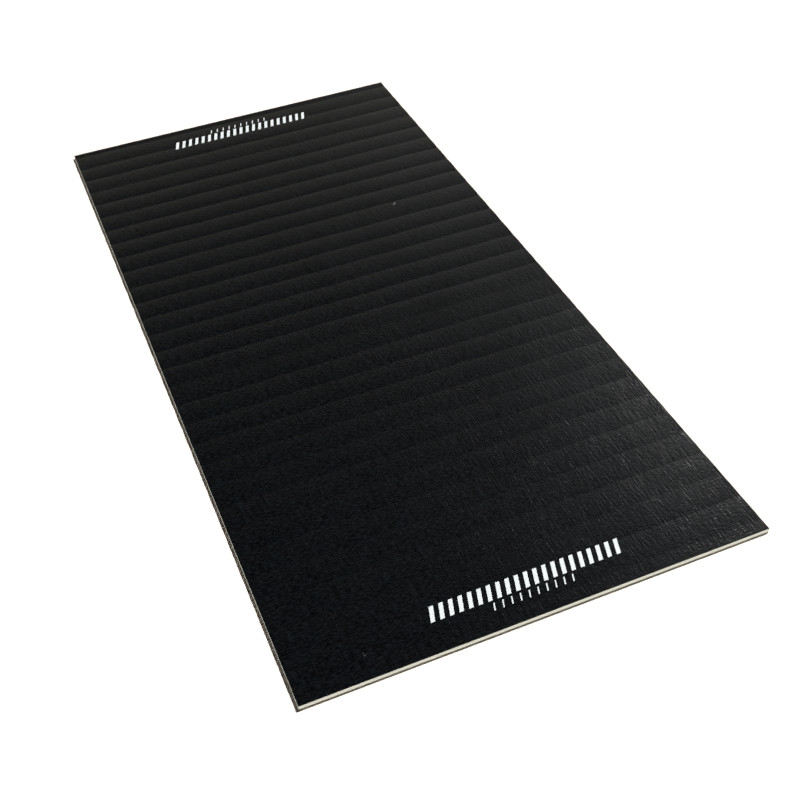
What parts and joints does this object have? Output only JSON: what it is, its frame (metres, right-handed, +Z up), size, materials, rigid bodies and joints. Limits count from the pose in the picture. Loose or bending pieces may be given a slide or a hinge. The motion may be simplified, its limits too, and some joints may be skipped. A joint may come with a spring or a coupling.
{
  "type": "rubber stall mat",
  "caption": "Flat roll-up stall mat: a black embossed facing sheet with shallow cross creases, bonded to a pale foam core that is scored from below.",
  "frame": {"origin": "on the floor, under the middle of the mat", "axes": "+Z up out of the facing, +Y along the mat's length, X across its width"},
  "size_m": [1.2192, 2.4384, 0.0127],
  "materials": {
    "foam": "cut closed-cell foam, cream, matt",
    "facing": "black embossed sheet, satin, with a fine cloth-like weave"
  },
  "bodies": {
    "root": {"foam_core": "foam", "top_sheet": "facing"}
  },
  "joints": []
}
